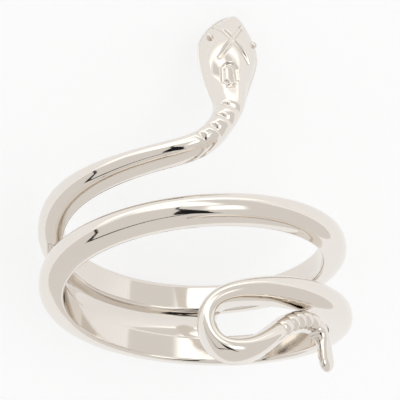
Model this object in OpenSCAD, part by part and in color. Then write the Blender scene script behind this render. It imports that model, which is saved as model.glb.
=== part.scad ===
// Snake wrap ring: one silver casting that winds twice round the finger.
// The ring is first laid out upright, with the finger's axis along Z and the head up.
// Angles run round the finger from the front, turning left as seen by the camera.

/* [Finger] */
// Inner diameter of the ring
finger_d = 17.3; // [14:0.1:22]
// How far the head and the loop stand off the finger
end_relief = 0.2; // [0:0.01:0.5]
// Height above which the head's side stands off
relief_above = 5.2; // [4:0.1:8]
// Height below which the loop stands off
relief_below = -6.4; // [-9:0.1:-5]

/* [Body] */
// Fullness of the dome: 2 is an ellipse, more is squarer
dome_power = 2.5; // [2:0.1:5]
// Small chamfer between the flat inner face and the dome
edge_chamfer = 0.12; // [0.05:0.01:0.4]

/* [Head] */
// Greatest width of the head
head_w = 4.15; // [3:0.05:6]
// Width of the neck where the head begins
neck_w = 1.95; // [1.4:0.05:2.6]
// Height along the finger of the widest point
head_mid_z = 11.6; // [9:0.1:13]
// From the widest point to the snout
head_nose_l = 2.62; // [2:0.02:5]
// From the widest point back to the neck
head_back_l = 5.1; // [3:0.1:8]
// Roundness of the snout: 2 is an ellipse, less is more pointed
snout_power = 1.46; // [1.2:0.02:2.5]
// Width of the bevel along the rim of the head
rim_w = 0.36; // [0.1:0.02:0.6]
// Height of that rim as a share of the head's thickness
rim_share = 0.5; // [0.3:0.05:0.8]
// Fullness of the crown inside the rim
crown_power = 2.2; // [1.5:0.1:4]
// Length of the rounded snout
snout_round = 0.8; // [0.4:0.05:1.5]
// Height where the body begins to widen into the head
head_from_z = 6.7; // [6:0.1:8]
// Height from which the head has its full width
head_full_z = 8.1; // [7.5:0.1:9]
// Height where the dome begins to turn into the bevelled crown
crown_from_z = 6.9; // [6:0.1:8]
// Height from which the crown has its full shape
crown_full_z = 9.4; // [8.5:0.1:10.5]
// Angle of the head's centre line
head_angle = -19; // [-40:1:10]
// Diameter of each eye
eye_d = 0.5; // [0.3:0.05:0.9]
// Distance between the eyes
eye_gap = 3; // [2:0.1:4]
// Height along the finger of the middle between the eyes
eye_z = 11.98; // [11:0.02:13]
// How far one eye lies above that middle and the other below it
eye_lean = 0.13; // [0:0.01:0.3]
// Distance of the eyes' centres from the finger
eye_off = 1; // [0.7:0.05:1.3]
// Width of a cut stroke
stroke_w = 0.3; // [0.1:0.02:0.5]
// Depth of a cut stroke
stroke_depth = 0.13; // [0.05:0.01:0.3]

/* [Grooves] */
// Depth of a groove across the neck or the tail
groove_depth = 0.13; // [0.05:0.01:0.3]
// Width of a groove along the body
groove_w = 0.8; // [0.3:0.05:1.2]

/* [Web] */
// Where the web between the first and second turn leaves the first turn
web_from = 84; // [60:1:120]
// Where it first reaches the second turn
web_full_from = 100; // [80:1:140]
// Where it stops reaching the second turn
web_full_to = 182.5; // [150:0.5:188]
// Where it runs out under the first turn
web_to = 190; // [165:1:230]
// How far its inner face lies back under the first turn
web_recess = 0.4; // [0.1:0.05:0.8]
// How far it lies back at the second turn
web_flush = 0.05; // [0.02:0.01:0.2]
// How far its outer face stands off the finger at the middle
web_back = 1; // [0.8:0.05:1.5]

/* [Tail] */
// Length of the rounded end
tail_round = 0.75; // [0.3:0.05:1.5]
// Distance of the round tail's centre line from the finger
tail_off = 0.66; // [0.4:0.02:0.9]
// Distance of its inner side from the finger
tail_inner = 0.25; // [0.22:0.01:0.5]

/* [Resting] */
// The ring lies head down, on its snout and on the back of the first turn.
// Turn about the finger's axis that brings those two into line
rest_turn = -6.45; // [-180:0.05:180]
// Tilt of the finger's axis from upright
rest_tilt = -146.2; // [-180:0.1:180]
// Turn on the surface that brings the side in the photo to the front
rest_face = 169.3; // [-180:0.1:180]

/* [Hidden] */
bore_r = finger_d / 2;
cut_margin = 0.35;
snout_w = 0.12;
// Least half width of the flat inner face and of the crown, as a share of the width
flat_least = 0.3;
// Rows before the tail's last one where its section begins to grow round and is round
round_from = 2.3;
round_full = 1.1;

// Columns of the three tables: angle round the finger in degrees, height along it,
// width along the finger and thickness away from it. The body follows them as a smooth curve.
ANGLE = 0;
HEIGHT = 1;
WIDTH = 2;
THICK = 3;

neck_rows = [
    [-21.9, 16.9, 1.9, 0.7],
    [-21.9, 15, 1.9, 0.8],
    [-20.7, 13, 1.9, 1.35],
    [-18.7, 11, 1.9, 1.6],
    [-17.9, 9.1, 1.9, 1.6],
    [-18.2, 7.54, 1.94, 1.65],
    [-14.5, 6.09, 1.59, 1.8],
    [-5.5, 4.39, 1.49, 1.8],
    [10, 3.89, 1.49, 1.8],
    [30, 3.56, 1.62, 1.75]
];

coil_rows = [
    [60, 3.35, 2.04, 1.7],
    [90, 2.5, 2, 1.7],
    [120, 1.7, 2.1, 1.65],
    [165, 1.15, 2, 1.65],
    [210, 0.7, 2, 1.65],
    [255, 0.72, 2.02, 1.65],
    [300, 0.66, 2.08, 1.65],
    [345, 0.21, 1.98, 1.65],
    [390, -0.31, 1.98, 1.65],
    [435, -0.94, 2.02, 1.65],
    [480, -1.95, 2.05, 1.7],
    [525, -2.57, 1.94, 1.7],
    [570, -3.25, 2.1, 1.7],
    [615, -4.04, 2.08, 1.7]
];

// The ribbed shoulder, from 691 to 661.5 degrees, lies close under the last turn
tail_rows = [
    [650, -4.42, 2, 1.7],
    [680, -4.75, 2.03, 1.7],
    [700, -5.21, 1.58, 1.75],
    [711, -5.75, 1.3, 1.8],
    [716, -6.8, 1.1, 1.8],
    [715.5, -8.1, 1.15, 1.8],
    [711.5, -9.05, 1.35, 1.8],
    [705, -9.25, 1.6, 1.8],
    [698, -8.95, 1.5, 1.7],
    [691, -8.15, 1.3, 1.6],
    [684, -7.2, 1.3, 1.4],
    [676.5, -6.55, 1.42, 1.2],
    [668, -6.24, 1.34, 1.15],
    [661.5, -6.8, 0.95, 1.15],
    [661, -8.15, 1.2, 1.12],
    [659.6, -9.3, 1.5, 1.12],
    [659, -10.6, 1.6, 1.12]
];

rows = concat(neck_rows, coil_rows, tail_rows);
head_rows = 5;
coil_first = 10;
coil_last = 24;
tail_last = len(rows) - 2;

// Smooth curve through the rows: a uniform cubic B-spline and its slope
function blend(f) = [
    pow(1 - f, 3) / 6,
    (3 * f * f * f - 6 * f * f + 4) / 6,
    (-3 * f * f * f + 3 * f * f + 3 * f + 1) / 6,
    f * f * f / 6
];
function slope_blend(f) = [
    -pow(1 - f, 2) / 2,
    (3 * f * f - 4 * f) / 2,
    (-3 * f * f + 2 * f + 1) / 2,
    f * f / 2
];
function row_mix(i, b) =
    rows[i - 1] * b[0] + rows[i] * b[1] + rows[i + 1] * b[2] + rows[i + 2] * b[3];
function seg(u) = min(floor(u), len(rows) - 3);
function row_at(u) = row_mix(seg(u), blend(u - seg(u)));
function row_slope(u) = row_mix(seg(u), slope_blend(u - seg(u)));

// Directions at a station: away from the finger, round it, along the body and across the body
function outward(a) = [-sin(a), -cos(a), 0];
function around(a) = [-cos(a), sin(a), 0];
function unit(v) = v / norm(v);
function along(u) =
    let (r = row_at(u), s = row_slope(u))
    unit(around(r[ANGLE]) * (bore_r + r[THICK] / 2) * s[ANGLE] * PI / 180 + [0, 0, s[HEIGHT]]);
function across(u) = cross(along(u), outward(row_at(u)[ANGLE]));

// Width of the head's plan at a height along the finger
function nose_share(z) = min(1, max(0, (z - head_mid_z) / head_nose_l));
function back_share(z) = min(1, max(0, (head_mid_z - z) / head_back_l));
function head_width(z) =
    z >= head_mid_z
        ? head_w * pow(1 - pow(nose_share(z), snout_power), 1 / snout_power)
        : neck_w + (head_w - neck_w) * (0.5 + 0.5 * cos(180 * back_share(z)));

// Rounding at the two ends, as a share of the full section
function end_share(left, length) =
    left >= length ? 1 : sqrt(max(0.0004, 1 - pow(1 - left / length, 2)));
function tail_left(u) = abs(row_at(u)[HEIGHT] - row_at(tail_last)[HEIGHT]);
function tail_share(u) = u > tail_last - round_from ? end_share(tail_left(u), tail_round) : 1;
function snout_left(u) = head_mid_z + head_nose_l - row_at(u)[HEIGHT];

// Rises smoothly from 0 at the first value to 1 at the last
function smooth_step(first, last, value) =
    let (share = min(1, max(0, (value - first) / (last - first))))
    share * share * (3 - 2 * share);

function in_head(u) = u < head_rows + 1;
function head_amount(u) = in_head(u) ? smooth_step(crown_from_z, crown_full_z, row_at(u)[HEIGHT]) : 0;
function tail_amount(u) = smooth_step(tail_last - round_from, tail_last - round_full, u);
function body_width(u) =
    in_head(u)
        ? let (r = row_at(u), k = smooth_step(head_from_z, head_full_z, r[HEIGHT]))
            max(snout_w, head_width(r[HEIGHT]) * k + r[WIDTH] * (1 - k))
        : row_at(u)[WIDTH] * tail_share(u);

// Grooves: stations of the four across the neck and the six across the tail
neck_grooves = [5.49, 6.03, 6.5, 6.95];
tail_grooves = [33.6, 34.2, 34.7, 35.2, 35.75, 36.4];
grooves = concat(neck_grooves, tail_grooves);
function row_length(u) =
    let (r = row_at(u), s = row_slope(u))
    norm([(bore_r + r[THICK]) * s[ANGLE] * PI / 180, s[HEIGHT]]);
function notch(u, g) =
    let (d = abs(u - g) * row_length(g) / (groove_w / 2))
    d >= 1 ? 0 : pow(1 - d, 2);
function groove_at(u) = max([for (g = grooves) notch(u, g)]) * groove_depth;

function body_thick(u) =
    row_at(u)[THICK] * (in_head(u) ? end_share(snout_left(u), snout_round) : 1);

// Half section from one edge of the dome to the other, as [away from the finger, across]
dome_steps = 10;
function dome_point(k, w, t, edge) =
    let (
        a = -90 + 180 * k / dome_steps,
        s = sin(a)
    )
    [
        edge + (t - edge) * pow(max(0, cos(a)), 2 / dome_power),
        w / 2 * sign(s) * pow(abs(s), 2 / dome_power)
    ];
function plate_half(w) = max(flat_least * w, w / 2 - rim_w);
function crown_high(t, v) =
    let (rim_h = rim_share * t)
    rim_h + (t - rim_h) * (1 - pow(min(1, abs(v)), crown_power));
function head_point(k, w, t) =
    let (
        plate = plate_half(w),
        rim_h = rim_share * t,
        s = 2 * k / dome_steps - 1,
        v = s * dome_steps / (dome_steps - 4)
    )
    k < 2 || k > dome_steps - 2
        ? let (e = k < 2 ? k / 2 : (dome_steps - k) / 2)
            [edge_chamfer + e * (rim_h - edge_chamfer), sign(s) * (w / 2 - e * (w / 2 - plate))]
        : [crown_high(t, v), v * plate];
function section(u) =
    let (
        w = body_width(u),
        t = body_thick(u),
        h = head_amount(u),
        tail = tail_amount(u),
        share = tail_share(u),
        edge = edge_chamfer + (tail_off - edge_chamfer) * tail,
        flat = max(flat_least * w, w / 2 - edge_chamfer) * (1 - tail) + flat_least * w * tail,
        inner = tail_off * (1 - share) + share * (tail_inner * tail - cut_margin * (1 - tail)),
        deep = groove_at(u)
    )
    concat(
        [[inner, -flat]],
        [for (k = [0:dome_steps])
            let (
                p = dome_point(k, w, t, edge) * (1 - h) + head_point(k, w, t) * h,
                top = pow(max(0, 1 - pow(2 * p[1] / w, 2)), 0.5)
            )
            [tail_off * (1 - share) + share * (p[0] - deep * top), p[1]]],
        [[inner, flat]]
    );

function place(u, p) =
    let (
        r = row_at(u),
        q = outward(r[ANGLE]) * bore_r + across(u) * p[1],
        flat_r = norm([q[0], q[1]]),
        k = (bore_r + p[0]) / flat_r
    )
    [q[0] * k, q[1] * k, r[HEIGHT] + q[2]];

// Stations: close together along the head, neck, loop and tail, wider along the coil
stations = concat(
    [for (k = [0:5]) snout_u(0.12 + 0.88 * pow(k / 6, 2))],
    [for (u = [snout_u(1) + 0.1:0.13:4.5]) u],
    [for (u = [4.6:0.075:7]) u],
    [for (u = [7.15:0.22:coil_first]) u],
    [for (u = [coil_first + 0.1:0.16:coil_last + 1]) u],
    [for (u = [coil_last + 1.15:0.22:33.3]) u],
    [for (u = [33.4:0.075:36.8]) u],
    [for (u = [36.9:0.2:tail_last - 0.5]) u],
    [for (k = [0:6]) tail_last - 0.4 * pow(1 - k / 6, 2) - 0.001]
);
// Station that lies a share of the way back along the rounding of the snout
function find_u(z, a, b, n) =
    n == 0
        ? (a + b) / 2
        : let (m = (a + b) / 2) row_at(m)[HEIGHT] > z ? find_u(z, m, b, n - 1) : find_u(z, a, m, n - 1);
function snout_u(share) = find_u(head_mid_z + head_nose_l - snout_round * share * share, 1, 5, 30);

module body() {
    rings = [for (u = stations) [for (p = section(u)) place(u, p)]];
    n = len(rings[0]);
    m = len(rings);
    points = [for (ring = rings) for (p = ring) p];
    sides = [for (i = [0:m - 2]) for (j = [0:n - 1])
        let (
            a = i * n + j,
            b = i * n + (j + 1) % n,
            c = a + n,
            d = b + n
        )
        each [[a, c, b], [b, c, d]]];
    first_end = [[for (j = [0:n - 1]) j]];
    last_end = [[for (j = [n - 1:-1:0]) (m - 1) * n + j]];
    polyhedron(points, concat(sides, first_end, last_end), convexity = 10);
}

// Web between the first and second turn at the back left. Its outer face stands off the finger by
// web_edge under the first turn, and by web_thin_edge at the free edge of its two thin ends.
web_edge = 1.4;
web_thin_edge = 1.05;
web_thin_l = 0.6;
web_bow = 0.1;
function turn_at(angle) = find_turn(angle, 9, 26, 30);
function find_turn(angle, a, b, n) =
    let (m = (a + b) / 2)
    n == 0
        ? row_at(m)
        : row_at(m)[ANGLE] > angle ? find_turn(angle, a, m, n - 1) : find_turn(angle, m, b, n - 1);
function web_share(a) =
    min(1, (a - web_from) / (web_full_from - web_from), (web_to - a) / (web_to - web_full_to));
// Its inner face lies deepest under the first turn and comes up nearly flush with the second
function web_inner(s, first, last) =
    let (left = 1 - min(1, max(0, (s - first) / (last - first))))
    web_flush + (web_recess - web_flush) * left * left;
function web_ring(a) =
    let (
        upper = turn_at(a),
        lower = turn_at(a + 360),
        top = upper[HEIGHT],
        low = lower[HEIGHT],
        first = upper[WIDTH] / 2 / (top - low),
        last = 1 - (lower[WIDTH] / 2 - edge_chamfer) / (top - low),
        share = web_share(a),
        bottom = share >= 1 ? low : top - web_thin_l - (top - low - 1 - web_thin_l) * pow(share, 0.8),
        edge_out = share >= 1 ? web_edge : web_thin_edge
    )
    concat(
        [for (s = [0:0.125:1])
            web_point(a, share >= 1 ? web_inner(s, first, last) : web_recess + web_bow * sin(180 * s),
                top + (bottom - top) * s)],
        [for (s = [1:-0.125:0])
            let (h = sin(180 * s), edge = web_edge + (edge_out - web_edge) * s)
            web_point(a, edge - (edge - web_back) * h, top + (bottom - top) * s)]
    );
function web_point(a, away, z) = outward(a) * (bore_r + away) + [0, 0, z];

module web() {
    angles = [for (a = [web_from:2:web_to]) a];
    rings = [for (a = angles) web_ring(a)];
    n = len(rings[0]);
    m = len(rings);
    points = [for (ring = rings) for (p = ring) p];
    sides = [for (i = [0:m - 2]) for (j = [0:n - 1])
        let (
            a = i * n + j,
            b = i * n + (j + 1) % n,
            c = a + n,
            d = b + n
        )
        each [[a, c, b], [b, c, d]]];
    first_end = [[for (j = [0:n - 1]) j]];
    last_end = [[for (j = [n - 1:-1:0]) (m - 1) * n + j]];
    polyhedron(points, concat(sides, first_end, last_end), convexity = 6);
}

// Puts a mark on the head: turn from its centre line, height along the finger, distance off the finger
module on_head(turn, z, off) {
    rotate([0, 0, -(head_angle + turn)])
        translate([0, -(bore_r + off), z])
            children();
}

// Height of the crown above the finger, at an angle round the finger and a height along it
function crown_at(angle, z) =
    let (
        u = find_u(z, 1, 5, 30),
        aside = bore_r * tan(angle - row_at(u)[ANGLE])
    )
    crown_high(body_thick(u), aside / plate_half(body_width(u)));

// Stroke cut with a V-shaped graver along the crown, between two ends given as angle and height
stroke_steps = 8;
module stroke(start, end) {
    lean = [(end[0] - start[0]) * PI / 180 * (bore_r + 1.2), end[1] - start[1]];
    aside = stroke_w / norm(lean);
    side_angle = -lean[1] * aside * 180 / PI / (bore_r + 1.2);
    side_z = lean[0] * aside;
    points = [for (k = [0:stroke_steps])
        let (
            p = start + (end - start) * k / stroke_steps,
            off = crown_at(p[0], p[1])
        )
        each [
            outward(p[0]) * (bore_r + off - stroke_depth) + [0, 0, p[1]],
            outward(p[0] - side_angle) * (bore_r + off + stroke_depth) + [0, 0, p[1] - side_z],
            outward(p[0] + side_angle) * (bore_r + off + stroke_depth) + [0, 0, p[1] + side_z]
        ]];
    sides = [for (i = [0:stroke_steps - 1]) for (j = [0:2])
        let (
            a = i * 3 + j,
            b = i * 3 + (j + 1) % 3,
            c = a + 3,
            d = b + 3
        )
        each [[a, c, b], [b, c, d]]];
    ends = [[0, 1, 2], [for (j = [2:-1:0]) stroke_steps * 3 + j]];
    polyhedron(points, concat(sides, ends), convexity = 4);
}

// U-shaped cell cut in the crown round a middle that stays: two outlines as [across, up]
cell_outline = [
    [-0.5, 0.4], [-0.3, 0.68], [0.25, 0.68], [0.45, 0.4], [0.55, -0.35],
    [0.1, -0.65], [-0.1, -0.9], [-0.35, -0.6], [-0.6, -0.4]
];
cell_middle = [
    [-0.22, 0.3], [-0.12, 0.42], [0.14, 0.42], [0.2, 0.3],
    [0.25, -0.35], [0, -0.45], [-0.25, -0.35]
];
cell_turn = 2;
cell_z = 9.25;
cell_off = 1.6;
cell_depth = 0.4;

// Marks cut in the head: the two crossed strokes and the cell
module head_marks() {
    stroke([-13, 13.05], [-24.5, 10.3]);
    stroke([-22.5, 12.85], [-13.3, 10.45]);
    on_head(cell_turn, cell_z, cell_off)
        rotate([90, 0, 0])
            linear_extrude(cell_depth, center = true)
                difference() {
                    polygon(cell_outline);
                    polygon(cell_middle);
                }
}

module eyes() {
    for (side = [-1, 1])
        on_head(side * eye_gap / 2 / (bore_r + eye_off) * 180 / PI, eye_z + side * eye_lean, eye_off)
            sphere(d = eye_d, $fn = 32);
}

// Hole for the finger: it opens a little at both ends, where the head and the loop stand off the finger
module finger_hole() {
    slope_l = 0.8;
    rotate([0, 0, 170])
        translate([0, 0, relief_below])
            cylinder(h = relief_above - relief_below, r = bore_r, $fn = 96);
    translate([0, 0, relief_above])
        cylinder(h = slope_l, r1 = bore_r, r2 = bore_r + end_relief, $fn = 96);
    translate([0, 0, relief_above + slope_l])
        cylinder(h = 20, r = bore_r + end_relief, $fn = 96);
    translate([0, 0, relief_below - slope_l])
        cylinder(h = slope_l, r1 = bore_r + end_relief, r2 = bore_r, $fn = 96);
    translate([0, 0, relief_below - slope_l - 20])
        cylinder(h = 20, r = bore_r + end_relief, $fn = 96);
}

module snake_ring() {
    color([0.84, 0.82, 0.79])
        rotate([0, 0, rest_face])
            rotate([rest_tilt, 0, 0])
                rotate([0, 0, rest_turn])
                    difference() {
                        union() {
                            body();
                            web();
                            eyes();
                        }
                        finger_hole();
                        head_marks();
                    }
}

snake_ring();
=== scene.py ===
# Snake wrap ring: polished silver casting, lying head down as it rests by itself.
# The shape is worked out with the finger's axis along Z and the head up, in millimetres,
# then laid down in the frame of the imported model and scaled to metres.
import math

import bmesh
import bpy
import numpy as np
from mathutils import Matrix, Vector


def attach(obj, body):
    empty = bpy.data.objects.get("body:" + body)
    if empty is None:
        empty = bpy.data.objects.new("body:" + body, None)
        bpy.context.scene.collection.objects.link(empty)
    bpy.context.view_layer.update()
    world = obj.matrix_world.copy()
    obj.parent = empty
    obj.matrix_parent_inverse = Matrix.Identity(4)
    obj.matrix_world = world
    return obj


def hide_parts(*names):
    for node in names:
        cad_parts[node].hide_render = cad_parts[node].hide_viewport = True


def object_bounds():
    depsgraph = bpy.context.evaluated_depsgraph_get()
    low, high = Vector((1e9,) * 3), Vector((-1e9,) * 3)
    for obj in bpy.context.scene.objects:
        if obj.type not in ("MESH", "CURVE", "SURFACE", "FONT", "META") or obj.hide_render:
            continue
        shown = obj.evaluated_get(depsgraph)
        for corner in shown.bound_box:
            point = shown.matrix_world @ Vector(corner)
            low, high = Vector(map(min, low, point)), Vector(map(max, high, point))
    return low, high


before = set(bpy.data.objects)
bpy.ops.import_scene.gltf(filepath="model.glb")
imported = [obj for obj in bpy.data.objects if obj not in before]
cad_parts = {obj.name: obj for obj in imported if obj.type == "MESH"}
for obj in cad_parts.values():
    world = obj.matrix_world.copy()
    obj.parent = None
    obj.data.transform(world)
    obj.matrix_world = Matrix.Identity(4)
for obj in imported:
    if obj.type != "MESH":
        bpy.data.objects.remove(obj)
cad_low, cad_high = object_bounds()

MM = 0.001

# How the upright ring is laid down: turn round the finger's axis, tilt of that axis, turn on the table
REST_TURN = -6.45
REST_TILT = -146.2
REST_FACE = 169.3
LAID_DOWN = (
    Matrix.Rotation(math.radians(REST_FACE), 4, "Z")
    @ Matrix.Rotation(math.radians(REST_TILT), 4, "X")
    @ Matrix.Rotation(math.radians(REST_TURN), 4, "Z")
)


# Camera: below the upright ring and looking up at its front, which is above the ring as it lies.
# Angles are in degrees and lengths in millimetres.
CAMERA_ELEVATION = 23.93
CAMERA_ROLL = -2.463
CAMERA_DISTANCE = 119.7
CAMERA_ASIDE = 0.452
CAMERA_RAISED = 4.418
LENS_LENGTH = 161.6
SENSOR_WIDTH = 36


def add_camera():
    elevation = math.radians(CAMERA_ELEVATION)
    roll = math.radians(CAMERA_ROLL)
    forward = Vector((0, math.cos(elevation), math.sin(elevation)))
    up = Vector((0, -math.sin(elevation), math.cos(elevation)))
    right = Vector((1, 0, 0))
    picture_right = right * math.cos(roll) + up * math.sin(roll)
    picture_up = up * math.cos(roll) - right * math.sin(roll)
    place = -CAMERA_DISTANCE * forward + CAMERA_ASIDE * picture_right + CAMERA_RAISED * picture_up
    turn = LAID_DOWN.to_3x3()
    axes = Matrix((turn @ picture_right, turn @ picture_up, turn @ -forward)).transposed()
    camera_data = bpy.data.cameras.new("camera")
    camera_data.sensor_width = SENSOR_WIDTH
    camera_data.lens = LENS_LENGTH
    camera_data.clip_start = 0.01
    camera_data.clip_end = 20
    camera = bpy.data.objects.new("camera", camera_data)
    camera.matrix_world = Matrix.Translation(turn @ place * MM) @ axes.to_4x4()
    bpy.context.scene.collection.objects.link(camera)
    bpy.context.scene.camera = camera
    return axes


CAMERA_AXES = add_camera()

# Finger hole, which opens by the relief beyond the heights where the head and the loop stand off
FINGER_R = 17.3 / 2
END_RELIEF = 0.2
RELIEF_ABOVE = 5.2
RELIEF_BELOW = -6.4
RELIEF_SLOPE = 0.8

# Section of the body: fullness of its dome, chamfer at its inner edges, least half width of its flat
# inner face as a share of the width, and what polishing takes off the dome and off the width
DOME_POWER = 2.5
EDGE_CHAMFER = 0.12
FLAT_LEAST = 0.3
POLISHED_OFF = 0.03
POLISHED_SIDES = 0.03

# The body's centre line. Columns: angle round the finger in degrees, height along it,
# width along the finger and thickness away from it, in millimetres.
ANGLE, HEIGHT, WIDTH, THICK = range(4)

NECK_ROWS = [
    (-21.9, 16.9, 1.9, 0.7),
    (-21.9, 15, 1.9, 0.8),
    (-20.7, 13, 1.9, 1.35),
    (-18.7, 11, 1.9, 1.6),
    (-17.9, 9.1, 1.9, 1.6),
    (-18.2, 7.54, 1.94, 1.65),
    (-14.5, 6.09, 1.59, 1.8),
    (-5.5, 4.39, 1.49, 1.8),
    (10, 3.89, 1.49, 1.8),
    (30, 3.56, 1.62, 1.75),
]

COIL_ROWS = [
    (60, 3.35, 2.04, 1.7),
    (90, 2.5, 2, 1.7),
    (120, 1.7, 2.1, 1.65),
    (165, 1.15, 2, 1.65),
    (210, 0.7, 2, 1.65),
    (255, 0.72, 2.02, 1.65),
    (300, 0.66, 2.08, 1.65),
    (345, 0.21, 1.98, 1.65),
    (390, -0.31, 1.98, 1.65),
    (435, -0.94, 2.02, 1.65),
    (480, -1.95, 2.05, 1.7),
    (525, -2.57, 1.94, 1.7),
    (570, -3.25, 2.1, 1.7),
    (615, -4.04, 2.08, 1.7),
]

TAIL_ROWS = [
    (650, -4.42, 2.0, 1.7),
    (680, -4.75, 2.03, 1.7),
    (700, -5.21, 1.58, 1.75),
    (711, -5.75, 1.3, 1.8),
    (716, -6.8, 1.1, 1.8),
    (715.5, -8.1, 1.15, 1.8),
    (711.5, -9.05, 1.35, 1.8),
    (705, -9.25, 1.6, 1.8),
    (698, -8.95, 1.5, 1.7),
    (691, -8.15, 1.3, 1.6),
    (684, -7.2, 1.3, 1.4),
    (676.5, -6.55, 1.42, 1.2),
    (668, -6.24, 1.34, 1.15),
    (661.5, -6.8, 0.95, 1.15),
    (661, -8.15, 1.2, 1.12),
    (659.6, -9.3, 1.5, 1.12),
    (659, -10.6, 1.6, 1.12),
]

ROWS = np.array(NECK_ROWS + COIL_ROWS + TAIL_ROWS, float)
HEAD_ROWS = 5
TAIL_LAST = len(ROWS) - 2

# Head: its plan from the neck over its widest point to the snout, and the heights where the body
# widens into it and where the dome turns into the bevelled crown
HEAD_W = 4.15
NECK_W = 1.95
HEAD_MID_Z = 11.6
HEAD_NOSE_L = 2.585
HEAD_BACK_L = 5.1
HEAD_TOP_Z = HEAD_MID_Z + HEAD_NOSE_L
SNOUT_POWER = 1.46
SNOUT_ROUND = 0.8
SNOUT_W = 0.12
HEAD_FROM_Z = 6.7
HEAD_FULL_Z = 8.1
CROWN_FROM_Z = 6.9
CROWN_FULL_Z = 9.4
CROWN_POWER = 2.2
RIM_W = 0.36
RIM_SHARE = 0.5

# Tail: length of its rounded end, distance of its round part's centre line and inner side from the
# finger, and the rows before the last one where the section begins to grow round and is round
TAIL_ROUND = 0.75
TAIL_OFF = 0.66
TAIL_INNER = 0.26
ROUND_FROM = 2.3
ROUND_FULL = 1.1
LEAST_W = 0.1

# Grooves: stations of the four across the neck and the six across the tail
NECK_GROOVES = (5.49, 6.03, 6.5, 6.95)
TAIL_GROOVES = (33.6, 34.2, 34.7, 35.2, 35.75, 36.4)
GROOVE_DEPTH = 0.13
GROOVE_W = 0.8


# Smooth curve along the rows: a uniform cubic B-spline and its slope
def row_and_slope(u):
    i = min(int(math.floor(u)), len(ROWS) - 3)
    f = u - i
    near = ROWS[i - 1 : i + 3]
    mix = np.array(
        (
            (1 - f) ** 3 / 6,
            (3 * f**3 - 6 * f**2 + 4) / 6,
            (-3 * f**3 + 3 * f**2 + 3 * f + 1) / 6,
            f**3 / 6,
        )
    )
    rise = np.array(
        (
            -((1 - f) ** 2) / 2,
            (3 * f**2 - 4 * f) / 2,
            (-3 * f**2 + 2 * f + 1) / 2,
            f**2 / 2,
        )
    )
    return mix @ near, rise @ near


# Direction away from the finger's axis at an angle
def outward(degrees):
    a = math.radians(degrees)
    return np.array((-math.sin(a), -math.cos(a), 0.0))


# Direction round the finger at an angle
def around(degrees):
    a = math.radians(degrees)
    return np.array((-math.cos(a), math.sin(a), 0.0))


# Direction across the body on the finger's surface
def across(row, slope):
    run = (FINGER_R + row[THICK] / 2) * math.radians(slope[ANGLE])
    along = around(row[ANGLE]) * run + np.array((0, 0, slope[HEIGHT]))
    return np.cross(along / np.linalg.norm(along), outward(row[ANGLE]))


# Goes from 0 at the first value to 1 at the last, gently at both ends
def smooth_step(first, last, value):
    share = min(1, max(0, (value - first) / (last - first)))
    return share * share * (3 - 2 * share)


# Width of the head's plan at a height along the finger
def head_width(z):
    if z >= HEAD_MID_Z:
        share = min(1, (z - HEAD_MID_Z) / HEAD_NOSE_L)
        return HEAD_W * (1 - share**SNOUT_POWER) ** (1 / SNOUT_POWER)
    share = min(1, (HEAD_MID_Z - z) / HEAD_BACK_L)
    return NECK_W + (HEAD_W - NECK_W) * (0.5 + 0.5 * math.cos(math.pi * share))


# Rounding at the two ends, as a share of the full section, by the length left to the end
def end_share(left, length):
    if left >= length:
        return 1
    return math.sqrt(max(0.0004, 1 - (1 - left / length) ** 2))


# Depth of the grooves at a station
def groove_depth(u):
    deepest = 0
    for groove in NECK_GROOVES + TAIL_GROOVES:
        row, slope = row_and_slope(groove)
        step = math.hypot((FINGER_R + row[THICK]) * math.radians(slope[ANGLE]), slope[HEIGHT])
        away = abs(u - groove) * step / (GROOVE_W / 2)
        if away < 1:
            deepest = max(deepest, (1 - away) ** 2)
    return deepest * GROOVE_DEPTH


# All that the section needs at a station
def station(u):
    row, slope = row_and_slope(u)
    z = row[HEIGHT]
    in_head = u < HEAD_ROWS + 1
    width, thick = row[WIDTH], row[THICK]
    head = 0
    tail = smooth_step(TAIL_LAST - ROUND_FROM, TAIL_LAST - ROUND_FULL, u)
    end = 1
    if in_head:
        head = smooth_step(CROWN_FROM_Z, CROWN_FULL_Z, z)
        share = smooth_step(HEAD_FROM_Z, HEAD_FULL_Z, z)
        width = max(SNOUT_W, head_width(z) * share + width * (1 - share))
        thick *= end_share(HEAD_TOP_Z - z, SNOUT_ROUND)
    elif u > TAIL_LAST - ROUND_FROM:
        end = end_share(z - TAIL_END_Z, TAIL_ROUND)
        width *= end
    return {
        "place": outward(row[ANGLE]) * FINGER_R + np.array((0, 0, z)),
        "across": across(row, slope),
        "width": max(LEAST_W, width - POLISHED_SIDES),
        "thick": thick,
        "head": head,
        "tail": tail,
        "end": end,
        "groove": groove_depth(u),
    }


TAIL_END_Z = row_and_slope(TAIL_LAST)[0][HEIGHT]


# Times that a search between two stations halves their distance
HALVINGS = 30


# Station whose height is z, between two stations of the head
def head_station_at(z):
    low, high = 1.0, 5.0
    for _ in range(HALVINGS):
        middle = (low + high) / 2
        if row_and_slope(middle)[0][HEIGHT] > z:
            low = middle
        else:
            high = middle
    return (low + high) / 2


# Stations lie close on the head, neck, loop and tail, and wider apart on the coil.
# They crowd together towards the two rounded ends.
SNOUT_STEPS = 16
TIP_STEPS = 14
TIP_SPAN = 0.45


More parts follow.
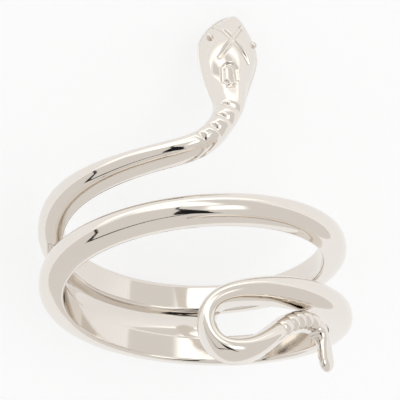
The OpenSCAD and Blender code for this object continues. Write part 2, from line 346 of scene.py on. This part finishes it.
def all_stations():
    shares = [0.1 + 0.9 * k / SNOUT_STEPS for k in range(SNOUT_STEPS + 1)]
    us = [head_station_at(HEAD_TOP_Z - SNOUT_ROUND * share**2) for share in shares]
    # Columns: from, to, step
    spans = [
        (us[-1] + 0.02, 4.6, 0.02),
        (4.62, 7.15, 0.025),
        (7.2, 10, 0.09),
        (10, 25, 0.08),
        (25, 33.4, 0.09),
        (33.42, 36.8, 0.03),
        (36.85, TAIL_LAST - 0.5, 0.08),
    ]
    for first, last, step in spans:
        us += list(np.arange(first, last, step))
    us += [TAIL_LAST - TIP_SPAN * (1 - k / TIP_STEPS) ** 2 - 0.001 for k in range(TIP_STEPS + 1)]
    return [station(u) for u in us]


STATION_VALUES = ("width", "thick", "head", "tail", "end", "groove")


# One small function adds a node with its settings and its inputs, which are values or sockets
def add_node(tree, kind, inputs=(), **settings):
    node = tree.nodes.new(kind)
    for name, value in settings.items():
        setattr(node, name, value)
    for key, value in dict(inputs).items():
        socket = node.inputs[key]
        if isinstance(value, bpy.types.NodeSocket):
            tree.links.new(value, socket)
        else:
            socket.default_value = value
    return node


# The spine carries what the section needs at each station
def spine_mesh(name, stations):
    mesh = bpy.data.meshes.new(name)
    edges = [(i, i + 1) for i in range(len(stations) - 1)]
    mesh.from_pydata([tuple(s["place"]) for s in stations], edges, [])
    field = mesh.attributes.new("across", "FLOAT_VECTOR", "POINT")
    field.data.foreach_set("vector", np.array([s["across"] for s in stations]).ravel())
    for key in STATION_VALUES:
        field = mesh.attributes.new(key, "FLOAT", "POINT")
        field.data.foreach_set("value", [float(s[key]) for s in stations])
    return mesh


# Share of the section's half where the head's rim begins, and fullness of the tail's inner side
RIM_FROM = 0.7
BOW_POWER = 2.5

# What the sweep takes
SWEEP_COUNTS = ("Dome Points", "Inner Points")
SWEEP_SIZES = (
    "Finger Radius",
    "Dome Power",
    "Edge Chamfer",
    "Flat Least",
    "Rim Width",
    "Rim Height",
    "Crown Power",
    "End Relief",
    "Relief Above",
    "Relief Below",
    "Relief Slope",
    "Polished Off",
    "Tail Off",
    "Tail Inner",
)

# Recipes for the section's points. Columns: result, operation, and what it works on, which is a
# number, one of the sizes, a value of the station or an earlier result. A side is measured across
# the body from its middle, and a rise away from the finger.
DOME_RECIPE = (
    ("half", "MULTIPLY", "width", 0.5),
    ("least flat", "MULTIPLY", "width", "Flat Least"),
    ("dome last", "SUBTRACT", "Dome Points", 1),
    ("share", "DIVIDE", "order", "dome last"),
    ("side", "MULTIPLY_ADD", "share", 2, -1),
    ("sign", "SIGN", "side"),
    ("turn", "MULTIPLY", "side", math.pi / 2),
    ("power", "DIVIDE", 2, "Dome Power"),
    ("cosine", "COSINE", "turn"),
    ("cosine", "MAXIMUM", "cosine", 0),
    ("dome full", "POWER", "cosine", "power"),
    ("sine", "SINE", "turn"),
    ("sine", "ABSOLUTE", "sine"),
    ("dome side", "POWER", "sine", "power"),
    ("dome side", "MULTIPLY", "dome side", "sign"),
    ("dome side", "MULTIPLY", "dome side", "half"),
    ("edge up", "SUBTRACT", "Tail Off", "Edge Chamfer"),
    ("chamfer", "MULTIPLY_ADD", "edge up", "tail", "Edge Chamfer"),
    ("dome high", "SUBTRACT", "thick", "chamfer"),
    ("dome rise", "MULTIPLY_ADD", "dome full", "dome high", "chamfer"),
)

# Head: a bevelled rim for the outer parts of the section, a crown between them
HEAD_RECIPE = (
    ("reach", "ABSOLUTE", "side"),
    ("on rim", "GREATER_THAN", "reach", RIM_FROM),
    ("up rim", "SUBTRACT", 1, "reach"),
    ("up rim", "DIVIDE", "up rim", 1 - RIM_FROM),
    ("inside rim", "SUBTRACT", "half", "Rim Width"),
    ("plate", "MAXIMUM", "least flat", "inside rim"),
    ("rim high", "MULTIPLY", "thick", "Rim Height"),
    ("bevel high", "SUBTRACT", "rim high", "chamfer"),
    ("rim rise", "MULTIPLY_ADD", "up rim", "bevel high", "chamfer"),
    ("bevel wide", "SUBTRACT", "half", "plate"),
    ("bevel side", "MULTIPLY", "up rim", "bevel wide"),
    ("rim side", "SUBTRACT", "half", "bevel side"),
    ("rim side", "MULTIPLY", "rim side", "sign"),
    ("crown", "DIVIDE", "side", RIM_FROM),
    ("crown side", "MULTIPLY", "crown", "plate"),
    ("fall", "ABSOLUTE", "crown"),
    ("fall", "MINIMUM", "fall", 1),
    ("fall", "POWER", "fall", "Crown Power"),
    ("crown full", "SUBTRACT", 1, "fall"),
    ("crown high", "SUBTRACT", "thick", "rim high"),
    ("crown rise", "MULTIPLY_ADD", "crown full", "crown high", "rim high"),
)

# Outer face: the dome becomes the head, and grooves run out towards the sides
OUTER_RECIPE = (
    ("more rise", "SUBTRACT", "head rise", "dome rise"),
    ("outer rise", "MULTIPLY_ADD", "head", "more rise", "dome rise"),
    ("more side", "SUBTRACT", "head side", "dome side"),
    ("outer side", "MULTIPLY_ADD", "head", "more side", "dome side"),
    ("least half", "MAXIMUM", "half", 0.001),
    ("off middle", "DIVIDE", "outer side", "least half"),
    ("off middle", "MULTIPLY", "off middle", "off middle"),
    ("middle", "SUBTRACT", 1, "off middle"),
    ("middle", "MAXIMUM", "middle", 0),
    ("middle", "SQRT", "middle"),
    ("cut", "MULTIPLY", "groove", "middle"),
    ("outer rise", "SUBTRACT", "outer rise", "cut"),
    ("outer rise", "SUBTRACT", "outer rise", "Polished Off"),
)

# Inner face: flat towards the finger, and bowed at the round end of the tail
INNER_RECIPE = (
    ("inner order", "SUBTRACT", "order", "Dome Points"),
    ("inner last", "SUBTRACT", "Inner Points", 1),
    ("inner share", "DIVIDE", "inner order", "inner last"),
    ("inner across", "MULTIPLY", "inner share", 2),
    ("inner across", "SUBTRACT", 1, "inner across"),
    ("flat", "SUBTRACT", "half", "Edge Chamfer"),
    ("flat", "MAXIMUM", "least flat", "flat"),
    ("inner side", "MULTIPLY", "flat", "inner across"),
    ("bow", "ABSOLUTE", "inner across"),
    ("bow", "POWER", "bow", BOW_POWER),
    ("bow high", "SUBTRACT", "Tail Off", "Tail Inner"),
    ("inner rise", "MULTIPLY_ADD", "bow", "bow high", "Tail Inner"),
    ("inner rise", "MULTIPLY", "inner rise", "tail"),
    ("on inner", "GREATER_THAN", "share", 1.0001),
)

# The tail's end closes in on its centre line
END_RECIPE = (
    ("closed", "SUBTRACT", 1, "end"),
    ("closing", "MULTIPLY", "closed", "Tail Off"),
    ("rise", "MULTIPLY_ADD", "rise", "end", "closing"),
)

# Relief: beyond the two ends of the finger hole the inner face stands off the finger
RELIEF_RECIPE = (
    ("past above", "SUBTRACT", "height", "Relief Above"),
    ("past above", "DIVIDE", "past above", "Relief Slope"),
    ("past below", "SUBTRACT", "Relief Below", "height"),
    ("past below", "DIVIDE", "past below", "Relief Slope"),
    ("past", "MAXIMUM", "past above", "past below"),
    ("past", "MAXIMUM", "past", 0),
    ("past", "MINIMUM", "past", 1),
    ("relief", "MULTIPLY", "past", "End Relief"),
    ("rise", "MAXIMUM", "rise", "relief"),
    ("off axis", "ADD", "Finger Radius", "rise"),
)

# Choices after the head's and the inner face's recipe. Columns: result, test, if false, if true.
HEAD_CHOICES = (
    ("head rise", "on rim", "crown rise", "rim rise"),
    ("head side", "on rim", "crown side", "rim side"),
)
FACE_CHOICES = (
    ("rise", "on inner", "outer rise", "inner rise"),
    ("offset", "on inner", "outer side", "inner side"),
)


# Adds a recipe's steps and then the choices to the tree, and keeps each result under its name
def follow_recipe(tree, parts, recipe, choices=()):
    for result, operation, *names in recipe:
        inputs = dict(enumerate(parts.get(name, name) for name in names))
        parts[result] = add_node(tree, "ShaderNodeMath", inputs, operation=operation).outputs[0]
    for result, test, if_false, if_true in choices:
        inputs = {"Switch": parts[test], "False": parts[if_false], "True": parts[if_true]}
        parts[result] = add_node(tree, "GeometryNodeSwitch", inputs, input_type="FLOAT").outputs[0]


# Sweeps the body's section along the spine. The section is a dome with a flat inner face,
# on the head a low crown with a bevelled rim, and at the end of the tail a full round.
def sweep_tree():
    tree = bpy.data.node_groups.new("sweep body", "GeometryNodeTree")
    face = tree.interface
    face.new_socket("Geometry", in_out="INPUT", socket_type="NodeSocketGeometry")
    for label in SWEEP_COUNTS:
        face.new_socket(label, in_out="INPUT", socket_type="NodeSocketInt")
    for label in SWEEP_SIZES:
        face.new_socket(label, in_out="INPUT", socket_type="NodeSocketFloat")
    face.new_socket("Metal", in_out="INPUT", socket_type="NodeSocketMaterial")
    face.new_socket("Geometry", in_out="OUTPUT", socket_type="NodeSocketGeometry")
    given = add_node(tree, "NodeGroupInput").outputs

    # Section circle: the dome's points first, then the inner face's points
    inputs = {0: given["Dome Points"], 1: given["Inner Points"]}
    count = add_node(tree, "ShaderNodeMath", inputs, operation="ADD")
    inputs = {"Resolution": count.outputs[0]}
    circle = add_node(tree, "GeometryNodeCurvePrimitiveCircle", inputs, mode="RADIUS")
    order = add_node(tree, "GeometryNodeInputIndex")
    section = add_node(
        tree,
        "GeometryNodeStoreNamedAttribute",
        {"Geometry": circle.outputs["Curve"], "Name": "order", "Value": order.outputs[0]},
        data_type="FLOAT",
        domain="POINT",
    )
    spine = add_node(tree, "GeometryNodeMeshToCurve", {"Mesh": given["Geometry"]})
    position = add_node(tree, "GeometryNodeInputPosition")
    placed = add_node(
        tree,
        "GeometryNodeStoreNamedAttribute",
        {"Geometry": spine.outputs[0], "Name": "place", "Value": position.outputs[0]},
        data_type="FLOAT_VECTOR",
        domain="POINT",
    )
    tube = add_node(
        tree,
        "GeometryNodeCurveToMesh",
        {"Curve": placed.outputs[0], "Profile Curve": section.outputs[0], "Fill Caps": True},
    )

    # The recipes work on the sizes and on the values of the station
    parts = {label: given[label] for label in SWEEP_COUNTS + SWEEP_SIZES}
    for name in STATION_VALUES + ("order",):
        value = add_node(tree, "GeometryNodeInputNamedAttribute", {"Name": name}, data_type="FLOAT")
        parts[name] = value.outputs["Attribute"]
    for name in ("place", "across"):
        inputs = {"Name": name}
        value = add_node(tree, "GeometryNodeInputNamedAttribute", inputs, data_type="FLOAT_VECTOR")
        parts[name] = value.outputs["Attribute"]
    follow_recipe(tree, parts, DOME_RECIPE)
    follow_recipe(tree, parts, HEAD_RECIPE, HEAD_CHOICES)
    follow_recipe(tree, parts, OUTER_RECIPE)
    follow_recipe(tree, parts, INNER_RECIPE, FACE_CHOICES)
    follow_recipe(tree, parts, END_RECIPE)

    # Point on the finger's cylinder beside the spine
    inputs = {0: parts["across"], "Scale": parts["offset"]}
    beside = add_node(tree, "ShaderNodeVectorMath", inputs, operation="SCALE")
    inputs = {0: parts["place"], 1: beside.outputs[0]}
    on_finger = add_node(tree, "ShaderNodeVectorMath", inputs, operation="ADD").outputs[0]
    parts["height"] = add_node(tree, "ShaderNodeSeparateXYZ", {0: on_finger}).outputs["Z"]
    follow_recipe(tree, parts, RELIEF_RECIPE)

    # Then it is pushed away from the finger's axis
    inputs = {0: on_finger, 1: (1, 1, 0)}
    level = add_node(tree, "ShaderNodeVectorMath", inputs, operation="MULTIPLY")
    aim = add_node(tree, "ShaderNodeVectorMath", {0: level.outputs[0]}, operation="NORMALIZE")
    inputs = {0: aim.outputs[0], "Scale": parts["off axis"]}
    pushed = add_node(tree, "ShaderNodeVectorMath", inputs, operation="SCALE")
    inputs = {0: on_finger, 1: (0, 0, 1)}
    upright = add_node(tree, "ShaderNodeVectorMath", inputs, operation="MULTIPLY")
    inputs = {0: pushed.outputs[0], 1: upright.outputs[0]}
    final = add_node(tree, "ShaderNodeVectorMath", inputs, operation="ADD")

    inputs = {"Geometry": tube.outputs[0], "Position": final.outputs[0]}
    shaped = add_node(tree, "GeometryNodeSetPosition", inputs)
    inputs = {"Geometry": shaped.outputs[0], "Shade Smooth": True}
    smooth = add_node(tree, "GeometryNodeSetShadeSmooth", inputs)
    real = add_node(tree, "GeometryNodeRealizeInstances", {"Geometry": smooth.outputs[0]})
    inputs = {"Geometry": real.outputs[0], "Material": given["Metal"]}
    metal = add_node(tree, "GeometryNodeSetMaterial", inputs)
    add_node(tree, "NodeGroupOutput", {0: metal.outputs[0]})
    return tree


def set_inputs(modifier, values):
    for item in modifier.node_group.interface.items_tree:
        if item.in_out == "INPUT" and item.name in values:
            modifier[item.identifier] = values[item.name]


# Mesh that the tree makes of the base mesh
def made_by_nodes(name, base_mesh, tree, values):
    carrier = bpy.data.objects.new(name + "_carrier", base_mesh)
    bpy.context.scene.collection.objects.link(carrier)
    modifier = carrier.modifiers.new("shape", "NODES")
    modifier.node_group = tree
    set_inputs(modifier, values)
    depsgraph = bpy.context.evaluated_depsgraph_get()
    mesh = bpy.data.meshes.new_from_object(carrier.evaluated_get(depsgraph), depsgraph=depsgraph)
    mesh.name = name
    carrier.modifiers.clear()
    bpy.data.objects.remove(carrier)
    return mesh


def linear(value):
    value /= 255
    return value / 12.92 if value <= 0.04045 else ((value + 0.055) / 1.055) ** 2.4


# Linear colour from the six digits of a display colour
def colour(hex_code):
    return tuple(linear(int(hex_code[i : i + 2], 16)) for i in (0, 2, 4)) + (1.0,)


# Polished sterling silver: cast, tumbled and buffed to a mirror with a faint haze and unevenness.
# It shows soft reflections of the room with a warm white tone. Widths and height are in millimetres.
SILVER = "E9E3DC"
HAZE_WIDTH = 2.5
HAZE_ROUGHNESS = (0.05, 0.09)
WAVE_WIDTH = 1.111
WAVE_HEIGHT = 0.05
WAVE_STRENGTH = 0.05


def polished_silver():
    material = bpy.data.materials.new("polished_silver")
    material.use_nodes = True
    tree = material.node_tree
    shader = tree.nodes["Principled BSDF"]
    shader.inputs["Metallic"].default_value = 1.0
    shader.inputs["Base Color"].default_value = colour(SILVER)
    where = add_node(tree, "ShaderNodeTexCoord").outputs["Object"]
    blotches = {"Vector": where, "Scale": 1 / (HAZE_WIDTH * MM), "Detail": 3}
    haze = add_node(tree, "ShaderNodeTexNoise", blotches)
    spread = {"Value": haze.outputs[0], "From Min": 0.3, "From Max": 0.7}
    spread["To Min"], spread["To Max"] = HAZE_ROUGHNESS
    rough = add_node(tree, "ShaderNodeMapRange", spread)
    tree.links.new(rough.outputs[0], shader.inputs["Roughness"])
    ripples = {"Vector": where, "Scale": 1 / (WAVE_WIDTH * MM), "Detail": 2}
    waves = add_node(tree, "ShaderNodeTexNoise", ripples)
    height = {"Height": waves.outputs[0], "Strength": WAVE_STRENGTH, "Distance": WAVE_HEIGHT * MM}
    bump = add_node(tree, "ShaderNodeBump", height)
    tree.links.new(bump.outputs[0], shader.inputs["Normal"])
    return material


silver = polished_silver()


# Welds what lies together and turns every face outward
def outward_faces(mesh):
    work = bmesh.new()
    work.from_mesh(mesh)
    bmesh.ops.remove_doubles(work, verts=work.verts, dist=1e-5)
    bmesh.ops.recalc_face_normals(work, faces=work.faces)
    if work.calc_volume(signed=True) < 0:
        bmesh.ops.reverse_faces(work, faces=work.faces)
    work.to_mesh(mesh)
    work.free()


# Strokes cut in the head's crown. Each is given by its two ends as (angle in degrees, height).
CROSS_STROKES = (((-13.0, 13.05), (-24.5, 10.3)), ((-22.5, 12.85), (-13.3, 10.45)))
CREASES = (
    ((-8.2, 11.6), (-8.0, 10.8)),
    ((-8.0, 10.8), (-11.9, 7.3)),
    ((-29.6, 11.6), (-29.2, 10.8)),
    ((-29.2, 10.8), (-25.6, 7.3)),
)
CELL_STROKES = (
    ((-14.2, 8.75), (-14.2, 9.6)),
    ((-14.2, 9.6), (-15.4, 9.88)),
    ((-15.4, 9.88), (-17.6, 9.88)),
    ((-17.6, 9.88), (-18.8, 9.6)),
    ((-18.8, 9.6), (-19.1, 8.85)),
    ((-14.2, 8.75), (-15.4, 8.55)),
    ((-15.8, 8.3), (-17.4, 8.35)),
)
# Columns: strokes, half width, depth
ENGRAVED = (
    (CROSS_STROKES, 0.19, 0.15),
    (CELL_STROKES, 0.17, 0.17),
    (CREASES, 0.12, 0.05),
)
ENGRAVED_FROM_Z = 7.6
ENGRAVED_FROM_R = FINGER_R + 0.4
HEAD_TOP_R = 9.85


# The head's surface unrolled on a plane: a place on it from its angle and height
def flat_point(angle, height):
    return np.array((math.radians(angle) * HEAD_TOP_R, height))


def distance_to_stroke(points, first, last):
    a, b = flat_point(*first), flat_point(*last)
    along = b - a
    share = np.clip((points - a) @ along / (along @ along), 0, 1)
    return np.linalg.norm(points - (a + share[:, None] * along), axis=1)


# Cuts the strokes round-bottomed into the head's outer face
def engrave_head(mesh):
    places = np.empty(len(mesh.vertices) * 3)
    mesh.vertices.foreach_get("co", places)
    places = places.reshape(-1, 3)
    angle = np.arctan2(-places[:, 0], -places[:, 1])
    radius = np.hypot(places[:, 0], places[:, 1])
    flat = np.stack((angle * HEAD_TOP_R, places[:, 2]), 1)
    on_head = (places[:, 2] > ENGRAVED_FROM_Z) & (radius > ENGRAVED_FROM_R)
    cut = np.zeros(len(places))
    for strokes, half_width, depth in ENGRAVED:
        for first, last in strokes:
            away = distance_to_stroke(flat, first, last) / half_width
            cut = np.maximum(cut, depth * np.cos(np.clip(away, 0, 1) * math.pi / 2))
    cut *= on_head
    places[:, 0] *= (radius - cut) / radius
    places[:, 1] *= (radius - cut) / radius
    mesh.vertices.foreach_set("co", places.ravel())


# Lays an upright mesh down in the frame and scales it to metres
def laid_down_piece(name, mesh):
    mesh.transform(Matrix.Scale(MM, 4) @ LAID_DOWN)
    piece = bpy.data.objects.new(name, mesh)
    bpy.context.scene.collection.objects.link(piece)
    mesh.polygons.foreach_set("use_smooth", [True] * len(mesh.polygons))
    return piece


def snake_body():
    values = {
        "Dome Points": 101,
        "Inner Points": 14,
        "Finger Radius": FINGER_R,
        "Dome Power": DOME_POWER,
        "Edge Chamfer": EDGE_CHAMFER,
        "Flat Least": FLAT_LEAST,
        "Rim Width": RIM_W,
        "Rim Height": RIM_SHARE,
        "Crown Power": CROWN_POWER,
        "End Relief": END_RELIEF,
        "Relief Above": RELIEF_ABOVE,
        "Relief Below": RELIEF_BELOW,
        "Relief Slope": RELIEF_SLOPE,
        "Polished Off": POLISHED_OFF,
        "Tail Off": TAIL_OFF,
        "Tail Inner": TAIL_INNER,
        "Metal": silver,
    }
    mesh = made_by_nodes("snake_body", spine_mesh("spine", all_stations()), sweep_tree(), values)
    for name in STATION_VALUES + ("across", "order", "place"):
        if name in mesh.attributes:
            mesh.attributes.remove(mesh.attributes[name])
    outward_faces(mesh)
    engrave_head(mesh)
    return laid_down_piece("snake_body", mesh)


# Web of metal between the first and second turn, at the back left. It runs from one angle to another
# and reaches the second turn between the two full angles. Its inner face lies back from the finger by
# the recess under the first turn, and its outer face stands off by the edge there and by the thin
# edge where it ends free.
WEB_FROM = 84
WEB_FULL_FROM = 100
WEB_FULL_TO = 182.5
WEB_TO = 190
WEB_RECESS = 0.4
WEB_FLUSH = 0.01
WEB_BACK = 1.0
WEB_EDGE = 1.4
WEB_THIN_EDGE = 1.05
WEB_THIN_L = 0.6
WEB_BOW = 0.1
WEB_STEPS = 20


# Row of the coil at an angle
def turn_at(angle):
    low, high = 9.0, 26.0
    for _ in range(HALVINGS):
        middle = (low + high) / 2
        if row_and_slope(middle)[0][ANGLE] > angle:
            high = middle
        else:
            low = middle
    return row_and_slope(low)[0]


# The web's inner face lies deepest under the first turn and comes up nearly flush with the second
def web_inner(share, first, last):
    left = 1 - min(1, max(0, (share - first) / (last - first)))
    return WEB_FLUSH + (WEB_RECESS - WEB_FLUSH) * left**2


def web_section(angle):
    upper, lower = turn_at(angle), turn_at(angle + 360)
    top, low = upper[HEIGHT], lower[HEIGHT]
    first = upper[WIDTH] / 2 / (top - low)
    last = 1 - (lower[WIDTH] / 2 - EDGE_CHAMFER) / (top - low)
    share = min(
        1,
        max(0, (angle - WEB_FROM) / (WEB_FULL_FROM - WEB_FROM)),
        max(0, (WEB_TO - angle) / (WEB_TO - WEB_FULL_TO)),
    )
    whole = share >= 1
    bottom = low if whole else top - WEB_THIN_L - (top - low - 1 - WEB_THIN_L) * share**0.8
    edge_out = WEB_EDGE if whole else WEB_THIN_EDGE
    inner, outer = [], []
    for k in range(WEB_STEPS + 1):
        s = k / WEB_STEPS
        hollow = math.sin(math.pi * s)
        z = top + (bottom - top) * s
        near = web_inner(s, first, last) if whole else WEB_RECESS + WEB_BOW * hollow
        far = WEB_EDGE + (edge_out - WEB_EDGE) * s
        inner.append(outward(angle) * (FINGER_R + near) + np.array((0, 0, z)))
        far -= (far - WEB_BACK) * hollow
        outer.append(outward(angle) * (FINGER_R + far) + np.array((0, 0, z)))
    return inner + outer[::-1]


def web():
    angles = np.arange(WEB_FROM, WEB_TO + 0.1, 1.0)
    sections = [web_section(a) for a in angles]
    count = len(sections[0])
    points = [tuple(p) for section in sections for p in section]
    faces = []
    for i in range(len(sections) - 1):
        for j in range(count):
            k = (j + 1) % count
            faces.append((i * count + j, i * count + k, (i + 1) * count + k, (i + 1) * count + j))
    faces.append(tuple(range(count)))
    last = (len(sections) - 1) * count
    faces.append(tuple(last + j for j in reversed(range(count))))
    mesh = bpy.data.meshes.new("web")
    mesh.from_pydata(points, [], faces)
    mesh.materials.append(silver)
    outward_faces(mesh)
    return laid_down_piece("web", mesh)


# Eyes: small domes on the two sides of the crown
HEAD_ANGLE = -19
EYE_GAP = 3.0
EYE_D = 0.5
EYE_Z = 11.98
EYE_LEAN = 0.13
EYE_OFF = 1.0


def eyes():
    work = bmesh.new()
    for side in (-1, 1):
        angle = HEAD_ANGLE + side * math.degrees(EYE_GAP / 2 / (FINGER_R + EYE_OFF))
        spot = outward(angle) * (FINGER_R + EYE_OFF) + np.array((0, 0, EYE_Z + side * EYE_LEAN))
        place = Matrix.Translation(Vector(spot))
        bmesh.ops.create_uvsphere(work, u_segments=32, v_segments=20, radius=EYE_D / 2, matrix=place)
    mesh = bpy.data.meshes.new("eyes")
    work.to_mesh(mesh)
    work.free()
    mesh.materials.append(silver)
    return laid_down_piece("eyes", mesh)


pieces = [snake_body(), web(), eyes()]
for piece in pieces:
    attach(piece, "root")
    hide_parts("snake_ring")


# Floor: matt off-white board of translucent acrylic, lit a little from below
FLOOR_HALF = 1.5
FLOOR_WHITE = "B0B2B5"
FLOOR_GLOW = 0.63


def floor():
    material = bpy.data.materials.new("white_board")
    material.use_nodes = True
    shader = material.node_tree.nodes["Principled BSDF"]
    shader.inputs["Base Color"].default_value = colour(FLOOR_WHITE)
    shader.inputs["Roughness"].default_value = 0.9
    shader.inputs["Emission Color"].default_value = colour("FFFFFF")
    shader.inputs["Emission Strength"].default_value = FLOOR_GLOW
    mesh = bpy.data.meshes.new("floor")
    signs = ((-1, -1), (1, -1), (1, 1), (-1, 1))
    corners = [(x * FLOOR_HALF, y * FLOOR_HALF, cad_low[2]) for x, y in signs]
    mesh.from_pydata(corners, [], [(0, 1, 2, 3)])
    mesh.materials.append(material)
    board = bpy.data.objects.new("floor", mesh)
    bpy.context.scene.collection.objects.link(board)


floor()


# Studio light. Places round the ring are given from where the camera looks: so far to the picture's
# right, up in the picture, and back towards the camera.
ROOM_LIGHT = 0.785
ROOM_WHITE = "FFFCF8"
LAMP_WHITE = "FFFEFB"


# Place at a distance from the ring in the direction given
def from_picture(right, up, back, distance):
    aim = CAMERA_AXES @ Vector((right, up, back)).normalized()
    return aim * distance


# Glowing board: brighter towards its middle than at its edges. Softness is the share of each side
# over which it brightens.
def glowing_board(name, corners, brightness, edge_brightness, softness):
    mesh = bpy.data.meshes.new(name)
    mesh.from_pydata([tuple(p) for p in corners], [], [(3, 2, 1, 0)])
    uv = mesh.uv_layers.new(name="uv")
    for loop, place in zip(uv.data, ((0, 1), (1, 1), (1, 0), (0, 0))):
        loop.uv = place
    material = bpy.data.materials.new(name)
    material.use_nodes = True
    tree = material.node_tree
    tree.nodes.clear()
    where = add_node(tree, "ShaderNodeTexCoord").outputs["UV"]
    sides = add_node(tree, "ShaderNodeSeparateXYZ", {0: where}).outputs
    shares = []
    for k in (0, 1):
        fold = add_node(tree, "ShaderNodeMath", {0: sides[k], 1: 0.5}, operation="PINGPONG")
        ramp = {"Value": fold.outputs[0], "From Min": 0.0, "From Max": softness[k] / 2}
        share = add_node(tree, "ShaderNodeMapRange", ramp, interpolation_type="SMOOTHSTEP")
        shares.append(share.outputs[0])
    both = add_node(tree, "ShaderNodeMath", dict(enumerate(shares)), operation="MULTIPLY")
    ramp = {"Value": both.outputs[0], "To Min": edge_brightness, "To Max": brightness}
    glow = add_node(tree, "ShaderNodeMapRange", ramp)
    lamp = {"Color": colour(LAMP_WHITE), "Strength": glow.outputs[0]}
    lit = add_node(tree, "ShaderNodeEmission", lamp)
    add_node(tree, "ShaderNodeOutputMaterial", {"Surface": lit.outputs[0]})
    mesh.materials.append(material)
    board = bpy.data.objects.new(name, mesh)
    bpy.context.scene.collection.objects.link(board)


# Diffuser panel that faces the ring, as bright as the tent behind it at its edges
def panel(name, side, size, brightness, softness, distance):
    middle = from_picture(*side, distance)
    back = middle.normalized()
    right = (CAMERA_AXES @ Vector((0, 1, 0))).cross(back).normalized() * size[0] / 2
    up = back.cross(right).normalized() * size[1] / 2
    corners = [middle - right - up, middle + right - up, middle + right + up, middle - right + up]
    glowing_board(name, corners, brightness, ROOM_LIGHT, softness)


# Light card that lies on the floor in front of the head
CARD_SIDES_X = (-0.08, 0.09)
CARD_SIDES_Y = (-0.16, -0.025)
CARD_THICK = 0.0002


def floor_card():
    z = cad_low[2] + CARD_THICK
    (left, right), (near, far) = CARD_SIDES_X, CARD_SIDES_Y
    corners = [(right, near, z), (left, near, z), (left, far, z), (right, far, z)]
    glowing_board("floor_card", corners, brightness=1.6, edge_brightness=0.95, softness=(0.5, 0.5))


# Dark gap of the tent round the camera, seen in the metal as thin dark lines.
# Columns: right, up, back, half width.
CAMERA_GAP = (
    (-0.06, 0.66, 0.74, 0.004),
    (-0.16, 0.58, 0.79, 0.020),
    (-0.15, 0.40, 0.90, 0.024),
    (-0.08, 0.25, 0.97, 0.030),
    (-0.04, 0.12, 0.99, 0.060),
    (0.0, -0.05, 0.99, 0.110),
    (0.05, -0.25, 0.96, 0.160),
    (0.1, -0.42, 0.90, 0.180),
    (0.2, -0.54, 0.82, 0.090),
    (0.28, -0.66, 0.69, 0.040),
    (0.36, -0.70, 0.62, 0.020),
)

# Dark seam of the tent, low on the left. Columns as above.
TENT_SEAM = (
    (0.2, -0.50, 0.84, 0.012),
    (-0.02, -0.62, 0.78, 0.040),
    (-0.20, -0.68, 0.70, 0.036),
    (-0.36, -0.77, 0.52, 0.044),
    (-0.48, -0.80, 0.36, 0.055),
    (-0.57, -0.77, 0.28, 0.050),
    (-0.63, -0.73, 0.26, 0.042),
    (-0.70, -0.63, 0.33, 0.034),
    (-0.77, -0.50, 0.40, 0.030),
    (-0.85, -0.24, 0.46, 0.026),
    (-0.92, 0.02, 0.40, 0.024),
    (-0.94, 0.25, 0.25, 0.022),
    (-0.90, 0.43, 0.10, 0.018),
    (-0.84, 0.53, 0.05, 0.010),
)


# Matt black strip that faces the ring, as wide as its rows say
def dark_strip(name, rows_of_strip, distance):
    material = bpy.data.materials.new(name)
    material.use_nodes = True
    shader = material.node_tree.nodes["Principled BSDF"]
    shader.inputs["Base Color"].default_value = colour("050505")
    shader.inputs["Roughness"].default_value = 1.0
    places = [from_picture(*row[:3], distance) for row in rows_of_strip]
    points = []
    for i, place in enumerate(places):
        along = places[min(i + 1, len(places) - 1)] - places[max(i - 1, 0)]
        side = place.cross(along).normalized() * rows_of_strip[i][3] * distance
        points += [place - side, place + side]
    faces = [(2 * i, 2 * i + 1, 2 * i + 3, 2 * i + 2) for i in range(len(places) - 1)]
    mesh = bpy.data.meshes.new(name)
    mesh.from_pydata([tuple(p) for p in points], [], faces)
    mesh.materials.append(material)
    strip = bpy.data.objects.new(name, mesh)
    bpy.context.scene.collection.objects.link(strip)


# White tent all round
def tent():
    world = bpy.data.worlds.new("tent")
    bpy.context.scene.world = world
    world.use_nodes = True
    background = world.node_tree.nodes["Background"]
    background.inputs["Color"].default_value = colour(ROOM_WHITE)
    background.inputs["Strength"].default_value = ROOM_LIGHT


tent()
dark_strip("camera_gap", CAMERA_GAP, distance=0.40)
dark_strip("tent_seam", TENT_SEAM, distance=0.42)
floor_card()
panel(
    "panel_right",
    side=(0.44, 0.12, 0.88),
    size=(0.28, 0.34),
    brightness=1.9,
    softness=(0.7, 0.5),
    distance=0.45,
)
panel(
    "panel_high",
    side=(-0.36, 0.75, 0.56),
    size=(1.4, 0.28),
    brightness=1.5,
    softness=(0.4, 0.6),
    distance=0.6,
)

bpy.context.scene.view_settings.view_transform = "Standard"
